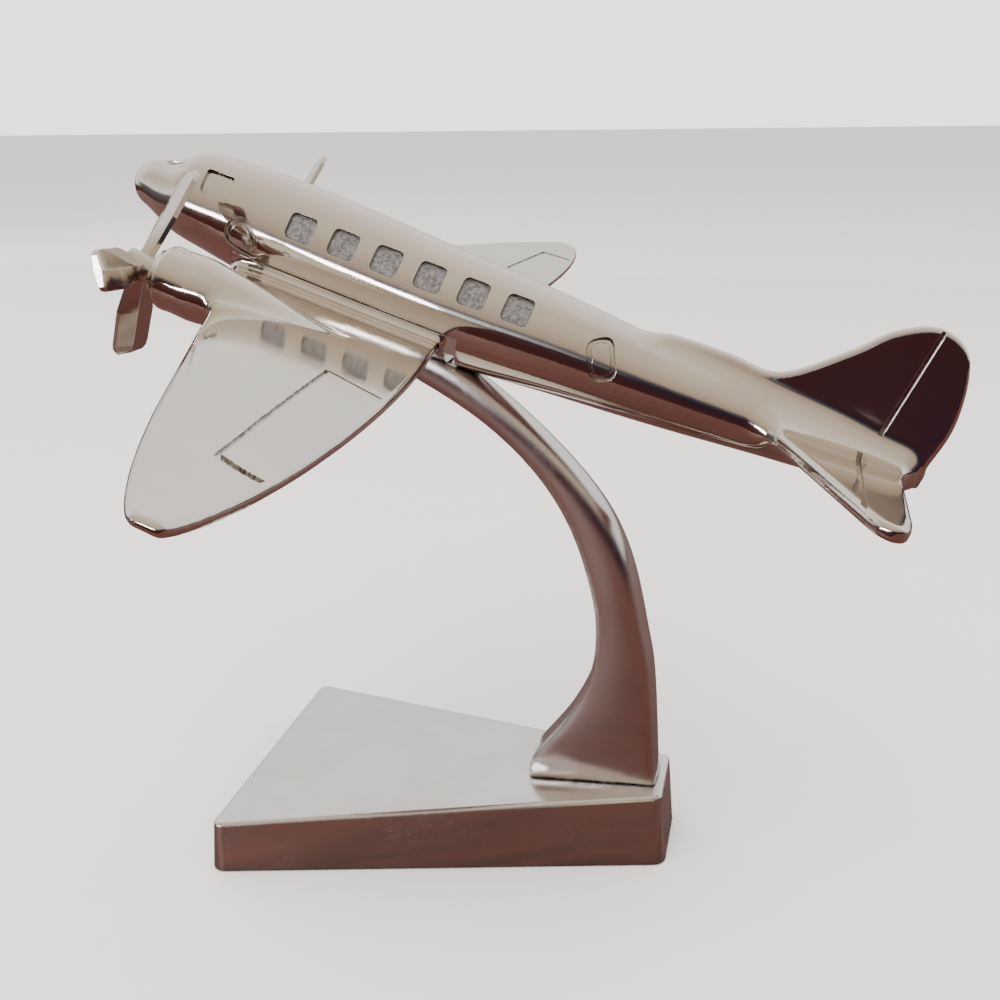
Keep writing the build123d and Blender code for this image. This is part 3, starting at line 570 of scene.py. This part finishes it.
def bumped(tree, height, strength, distance, normal=None):
    """Normal from a height, on top of another normal."""
    node = tree.nodes.new("ShaderNodeBump")
    node.inputs["Strength"].default_value = strength
    node.inputs["Distance"].default_value = distance
    tree.links.new(height, node.inputs["Height"])
    if normal is not None:
        tree.links.new(normal, node.inputs["Normal"])
    return node.outputs["Normal"]


def polished(name, tint, gloss, haze, grain=(1, 1, 1), shade_reach=0.0011, edge=0.00025, ripple=0.5,
             pitting=1.0):
    """Hand-polished cast aluminium: slow ripples, polishing lines, pits, haze, painted shade in the corners.
    """
    material, tree, shader = new_material(name)
    shader.inputs["Metallic"].default_value = 1.0
    patches = noise(tree, 45, 5.0, roughness=0.6)
    lines = noise(tree, 900, 3.0, stretch=grain)
    pits = noise(tree, 1500, 2.0)
    pit = ranged(tree, pits, 0.74, 0.80, 0, pitting)
    # painted shade: the AO node darkens crevices towards the dark crevice colour, broken up by noise, and
    # roughens them there
    corner = tree.nodes.new("ShaderNodeAmbientOcclusion")
    corner.inputs["Distance"].default_value = shade_reach
    corner.samples = 6
    crevice_shade = ranged(tree, corner.outputs["AO"], 0.35, 0.80, 1, 0)
    crevice_shade = maths(tree, "MULTIPLY", crevice_shade, ranged(tree, noise(tree, 700, 3.0), 0.3, 0.6, 0.35, 1.0))
    warm = mixed(tree, ranged(tree, patches, 0.3, 0.7, 0, 1), tint, tuple(c * 0.93 for c in tint))
    warm = mixed(tree, maths(tree, "MULTIPLY", pit, 0.35), warm, PIT_COLOUR)
    colour = mixed(tree, maths(tree, "MULTIPLY", crevice_shade, 0.85), warm, CREVICE_SHADE)
    tree.links.new(colour, shader.inputs["Base Color"])
    rough = ranged(tree, patches, 0.35, 0.75, gloss, gloss + haze)
    rough = maths(tree, "ADD", rough, ranged(tree, lines, 0.45, 0.75, 0, 0.5 * haze))
    rough = maths(tree, "ADD", rough, maths(tree, "MULTIPLY", crevice_shade, 0.35))
    tree.links.new(rough, shader.inputs["Roughness"])
    soft = tree.nodes.new("ShaderNodeBevel")
    soft.samples = 6
    soft.inputs["Radius"].default_value = edge
    slow = bumped(tree, noise(tree, 70, 1.0), ripple, 0.00012, soft.outputs["Normal"])
    fine = bumped(tree, lines, 0.10, 0.00002, slow)
    tree.links.new(bumped(tree, pit, -0.25, 0.00003, fine), shader.inputs["Normal"])
    return material


def as_cast(name, tint):
    """Unpolished floor of a recess: grainy with dark grains, and painted shade in its hollows."""
    material, tree, shader = new_material(name)
    grains = noise(tree, 1100, 5.0, roughness=0.7)
    fine = noise(tree, 3500, 3.0)
    dark = ranged(tree, grains, 0.40, 0.58, 1, 0)
    # painted shade: the AO node darkens the floor's edges to the same dark grey as the grains
    corner = tree.nodes.new("ShaderNodeAmbientOcclusion")
    corner.inputs["Distance"].default_value = 0.0005
    corner.samples = 6
    edge_shade = ranged(tree, corner.outputs["AO"], 0.40, 0.85, 1, 0)
    share = maths(tree, "MAXIMUM", maths(tree, "MULTIPLY", dark, 0.6), edge_shade)
    colour = mixed(tree, share, tint, (0.07, 0.065, 0.065))
    tree.links.new(colour, shader.inputs["Base Color"])
    shader.inputs["Metallic"].default_value = 0.85
    tree.links.new(ranged(tree, fine, 0.3, 0.7, 0.32, 0.6), shader.inputs["Roughness"])
    rough = bumped(tree, grains, 0.9, 0.00035)
    tree.links.new(bumped(tree, fine, 0.4, 0.00006, rough), shader.inputs["Normal"])
    return material


def turned_steel(name, tint, roughness):
    """Turned steel with fine rings of tool marks and a little dirt."""
    material, tree, shader = new_material(name)
    shader.inputs["Metallic"].default_value = 1.0
    marks = noise(tree, 2600, 2.0, stretch=(1, 0.15, 1))
    dirt = ranged(tree, noise(tree, 500, 4.0), 0.45, 0.7, 0, 0.6)
    tree.links.new(mixed(tree, dirt, tint, tuple(c * 0.55 for c in tint)), shader.inputs["Base Color"])
    tree.links.new(ranged(tree, marks, 0.3, 0.7, roughness, roughness + 0.2), shader.inputs["Roughness"])
    soft = tree.nodes.new("ShaderNodeBevel")
    soft.samples = 4
    soft.inputs["Radius"].default_value = 0.00015
    tree.links.new(bumped(tree, marks, 0.3, 0.00003, soft.outputs["Normal"]), shader.inputs["Normal"])
    return material


def rubber(name):
    """Black rubber sheet."""
    material, tree, shader = new_material(name)
    grain = noise(tree, 2200, 4.0)
    colour = mixed(tree, grain, (0.018, 0.017, 0.016), (0.05, 0.047, 0.045))
    tree.links.new(colour, shader.inputs["Base Color"])
    tree.links.new(ranged(tree, grain, 0.3, 0.7, 0.65, 0.9), shader.inputs["Roughness"])
    tree.links.new(bumped(tree, grain, 0.4, 0.0001), shader.inputs["Normal"])
    return material


ALUMINIUM = (0.83, 0.79, 0.735)
body_metal = polished("polished_body", ALUMINIUM, 0.045, 0.07, grain=(0.25, 1, 1))
wing_metal = polished("polished_wing", ALUMINIUM, 0.05, 0.08, grain=(0.3, 1, 1), ripple=0.3)
arm_metal = polished("polished_arm", (0.80, 0.765, 0.755), 0.13, 0.11, grain=(1, 1, 0.3), edge=0.003,
                     pitting=0.0)
base_metal = polished("polished_base", (0.84, 0.81, 0.795), 0.15, 0.13, grain=(0.3, 1, 1), edge=0.0006,
                      pitting=0.0)
prop_metal = polished("polished_propeller", (0.78, 0.73, 0.67), 0.10, 0.10, ripple=0.4)
floor_metal = as_cast("cast_recess", (0.46, 0.46, 0.475))
pin_steel = turned_steel("turned_pin", (0.66, 0.63, 0.58), 0.25)
screw_steel = turned_steel("zinc_screw", (0.55, 0.55, 0.56), 0.35)
pad_rubber = rubber("rubber_sheet")


# ---- pieces ---------------------------------------------------------------------------------------

def make_fuselage():
    """Fuselage, fin and tailplane, with rough floors in the cabin windows only."""
    piece = surface("fuselage_casting", airframe, *FUSELAGE_SPACE)
    cut(piece, fuselage_tools())
    finish_piece(piece, (body_metal, floor_metal), "fuselage")
    centres = np.array([tuple(p.center) for p in piece.data.polygons]) / MM - np.array(NOSE)
    local = centres @ np.array((-FORWARD, PORT, UPWARD)).T
    aft, port, high = local.T
    first, last = WINDOWS[0] - 2 * WINDOW_HALF[0], WINDOWS[-1] + 2 * WINDOW_HALF[0]
    deep = (hull(aft, port, high) < -FLOOR_DEPTH) & (aft > first) & (aft < last) & (high > 0)
    for polygon, is_floor in zip(piece.data.polygons, deep):
        polygon.material_index = int(is_floor)


def make_wing():
    """Wings, engines and the saddle between them."""
    piece = surface("wing_and_engines", wing_block, *WING_SPACE)
    cut(piece, wing_tools())
    finish_piece(piece, (wing_metal,), "wing_casting")


def give(node, material):
    """Material of a CAD node."""
    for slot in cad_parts[node].material_slots:
        slot.material = material


def soften(node, voxel, times):
    """Hand-polished edges: an even skin over the casting, then smoothed."""
    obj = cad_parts[node]
    skin = obj.modifiers.new("skin", "REMESH")
    skin.mode = "VOXEL"
    skin.voxel_size = voxel
    skin.use_smooth_shade = True
    smooth = obj.modifiers.new("smooth", "SMOOTH")
    smooth.factor = 0.5
    smooth.iterations = times


ARM_SKIN, ARM_SMOOTHING = 0.0006, 14

make_fuselage()
make_wing()
give("stand_arm", arm_metal)
soften("stand_arm", ARM_SKIN, ARM_SMOOTHING)
give("stand_base", base_metal)
for name in ("propeller_port", "propeller_starboard"):
    give(name, prop_metal)
for name in ("propeller_pin_port", "propeller_pin_starboard", "pin_washer_port", "pin_washer_starboard"):
    give(name, pin_steel)
for name in ("base_screws", "base_washers", "head_screws", "head_washers"):
    give(name, screw_steel)
give("base_pad", pad_rubber)


# ---- studio ---------------------------------------------------------------------------------------

def add_studio():
    """Pale floor against a pale backdrop, soft boxes, and what the polished metal mirrors."""
    floor, tree, shader = new_material("studio_floor")
    grain = noise(tree, 30, 3.0)
    tree.links.new(mixed(tree, grain, (0.86, 0.85, 0.84), (0.88, 0.87, 0.86)), shader.inputs["Base Color"])
    shader.inputs["Roughness"].default_value = 0.6
    reach = 8.0
    corners = [(-reach, -reach, 0), (reach, -reach, 0), (reach, reach, 0), (-reach, reach, 0)]
    stage = make_mesh("floor", corners, [(0, 1, 2, 3)])
    stage.data.materials.append(floor)
    stage.visible_glossy = False
    # name, place, size, power and colour of each soft box
    boxes = [("key", (0.4, 0.5, 1.5), (1.6, 1.2), 30, (1.0, 0.98, 0.95)),
             ("strip", (0.9, 1.5, 0.24), (1.4, 0.16), 9, (1.0, 0.99, 0.98)),
             ("rear", (-1.4, -0.6, 0.9), (1.0, 0.8), 9, (1.0, 0.96, 0.92)),
             ("side", (1.5, -0.9, 0.8), (1.0, 0.8), 8, (0.95, 0.97, 1.0))]
    aim = Vector((0, 0, 0.13))
    for name, place, size, power, colour in boxes:
        data = bpy.data.lights.new(name, "AREA")
        data.shape = "RECTANGLE"
        data.size, data.size_y = size
        data.energy, data.color = power, colour
        light = bpy.data.objects.new(name, data)
        light.location = place
        light.rotation_euler = (aim - Vector(place)).to_track_quat("-Z", "Y").to_euler()
        light.visible_camera = False
        light.visible_glossy = name == "strip"
        bpy.context.scene.collection.objects.link(light)
    add_table_reflection()
    add_room()


def add_table_reflection():
    """Brown sheet over the floor that only shows in the polished metal, as a wooden table would."""
    wood, tree, shader = new_material("table_reflection")
    grain = noise(tree, 14, 5.0, stretch=(1, 8, 1))
    streak = ranged(tree, grain, 0.35, 0.65, 0, 1)
    colour = mixed(tree, streak, (0.030, 0.009, 0.009), (0.090, 0.021, 0.015))
    tree.links.new(colour, shader.inputs["Base Color"])
    shader.inputs["Roughness"].default_value = 0.5
    reach, front_edge, lift = 1.1, 0.32, 0.0003
    sheet = make_mesh("table", [(-reach, -reach, lift), (reach, -reach, lift), (reach, front_edge, lift),
                                (-reach, front_edge, lift)], [(0, 1, 2, 3)])
    sheet.data.materials.append(wood)
    for kind in ("camera", "diffuse", "shadow", "transmission", "volume_scatter"):
        setattr(sheet, "visible_" + kind, False)


def add_room():
    """Room that the metal mirrors: pale wall on the far side, warm room with a window on the near side."""
    world = bpy.data.worlds.new("room")
    bpy.context.scene.world = world
    world.use_nodes = True
    tree = world.node_tree
    place = tree.nodes.new("ShaderNodeTexCoord")
    split = tree.nodes.new("ShaderNodeSeparateXYZ")
    tree.links.new(place.outputs["Generated"], split.inputs[0])
    height = ranged(tree, split.outputs["Z"], -0.5, 1.0, 0, 1)
    room = [(0.50, (0.52, 0.41, 0.31)), (1.0, (0.86, 0.74, 0.60))]
    # ramps run from well under the horizon, at a third, up to the zenith
    below = [(0.0, (0.055, 0.018, 0.012)), (0.20, (0.075, 0.025, 0.02))]
    window = ramped(tree, height, below + [(0.335, (0.12, 0.06, 0.06)), (0.345, (1.6, 1.6, 1.65)),
                                           (0.405, (1.3, 1.3, 1.35)), (0.42, (0.12, 0.12, 0.16)),
                                           (0.45, (0.26, 0.24, 0.25))] + room)
    shade = ramped(tree, height, [(0.0, (0.085, 0.030, 0.012)), (0.09, (0.075, 0.020, 0.022)),
                                  (0.15, (0.040, 0.018, 0.030)), (0.22, (0.050, 0.018, 0.016)),
                                  (0.34, (0.026, 0.020, 0.036)), (0.42, (0.10, 0.085, 0.10))] + room)
    corner = ramped(tree, height, below + [(0.34, (0.10, 0.09, 0.09)), (0.43, (0.16, 0.15, 0.15)),
                                           (0.49, (1.1, 1.08, 1.05)), (0.65, (0.80, 0.72, 0.62)),
                                           (1.0, (0.80, 0.71, 0.60))])
    wall = ramped(tree, height, [(0.0, (0.05, 0.016, 0.010)), (0.32, (0.10, 0.035, 0.02)),
                                 (0.36, (1.05, 1.03, 1.00)), (0.7, (1.25, 1.22, 1.17)),
                                 (1.0, (1.0, 0.88, 0.75))])
    front = mixed(tree, ranged(tree, split.outputs["X"], -0.15, 0.30, 0, 1), shade, window)
    front = mixed(tree, ranged(tree, split.outputs["X"], 0.72, 0.82, 0, 1), front, corner)
    colour = mixed(tree, ranged(tree, split.outputs["Y"], -0.25, 0.15, 0, 1), wall, front)
    background = tree.nodes["Background"]
    tree.links.new(colour, background.inputs["Color"])
    seen = tree.nodes.new("ShaderNodeLightPath")
    backdrop = tree.nodes.new("ShaderNodeBackground")
    backdrop.inputs["Color"].default_value = (2.4, 2.38, 2.37, 1)
    either = tree.nodes.new("ShaderNodeMixShader")
    spread = maths(tree, "MULTIPLY", seen.outputs["Is Diffuse Ray"], 0.5)
    tree.links.new(maths(tree, "MAXIMUM", seen.outputs["Is Camera Ray"], spread), either.inputs["Fac"])
    tree.links.new(background.outputs[0], either.inputs[1])
    tree.links.new(backdrop.outputs[0], either.inputs[2])
    tree.links.new(either.outputs[0], tree.nodes["World Output"].inputs["Surface"])


add_camera()
add_studio()
